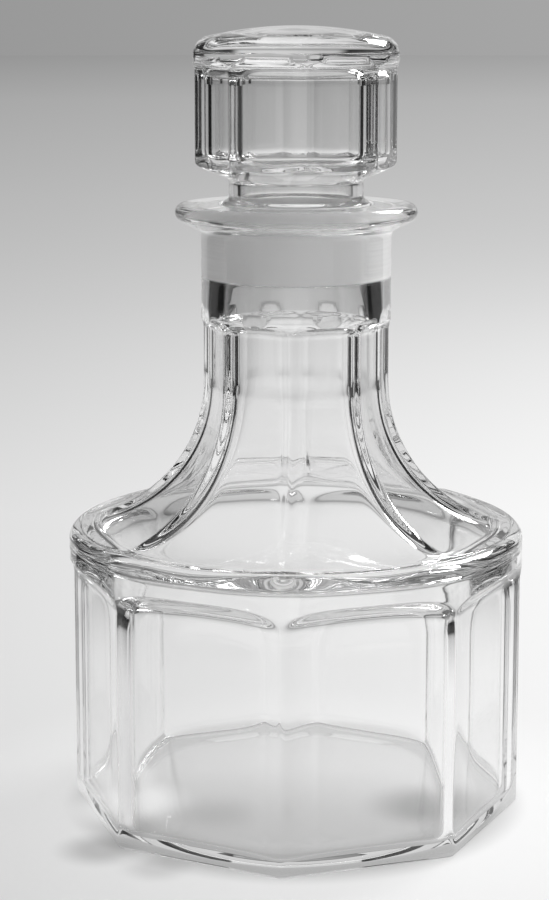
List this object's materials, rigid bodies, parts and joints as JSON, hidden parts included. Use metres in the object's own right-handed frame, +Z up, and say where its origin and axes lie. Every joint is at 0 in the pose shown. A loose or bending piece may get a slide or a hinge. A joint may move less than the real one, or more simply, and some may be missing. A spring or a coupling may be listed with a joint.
{
  "type": "decanter",
  "caption": "Clear octagonal glass decanter with a round shoulder, a panelled neck that flares to it, and a hollow panelled glass stopper ground to fit the mouth.",
  "frame": {"origin": "on the table, under the middle of the base", "axes": "+Z up along the axis of the bottle; -Y is the front, where a corner of the octagonal body shows"},
  "size_m": [0.1304, 0.1304, 0.2246],
  "materials": {
    "bottle_glass": "clear fire-polished pressed glass, with a matt ground band inside the mouth",
    "stopper_glass": "clear fire-polished glass, with a matt ground band round the shank"
  },
  "bodies": {
    "bottle": {"bottle": "bottle_glass"},
    "stopper": {"stopper": "stopper_glass"}
  },
  "joints": [
    {"name": "stopper_lift", "type": "slide", "parent": "bottle", "child": "stopper", "axis": [0, 0, 1], "range_m": [0, 0.045]}
  ]
}
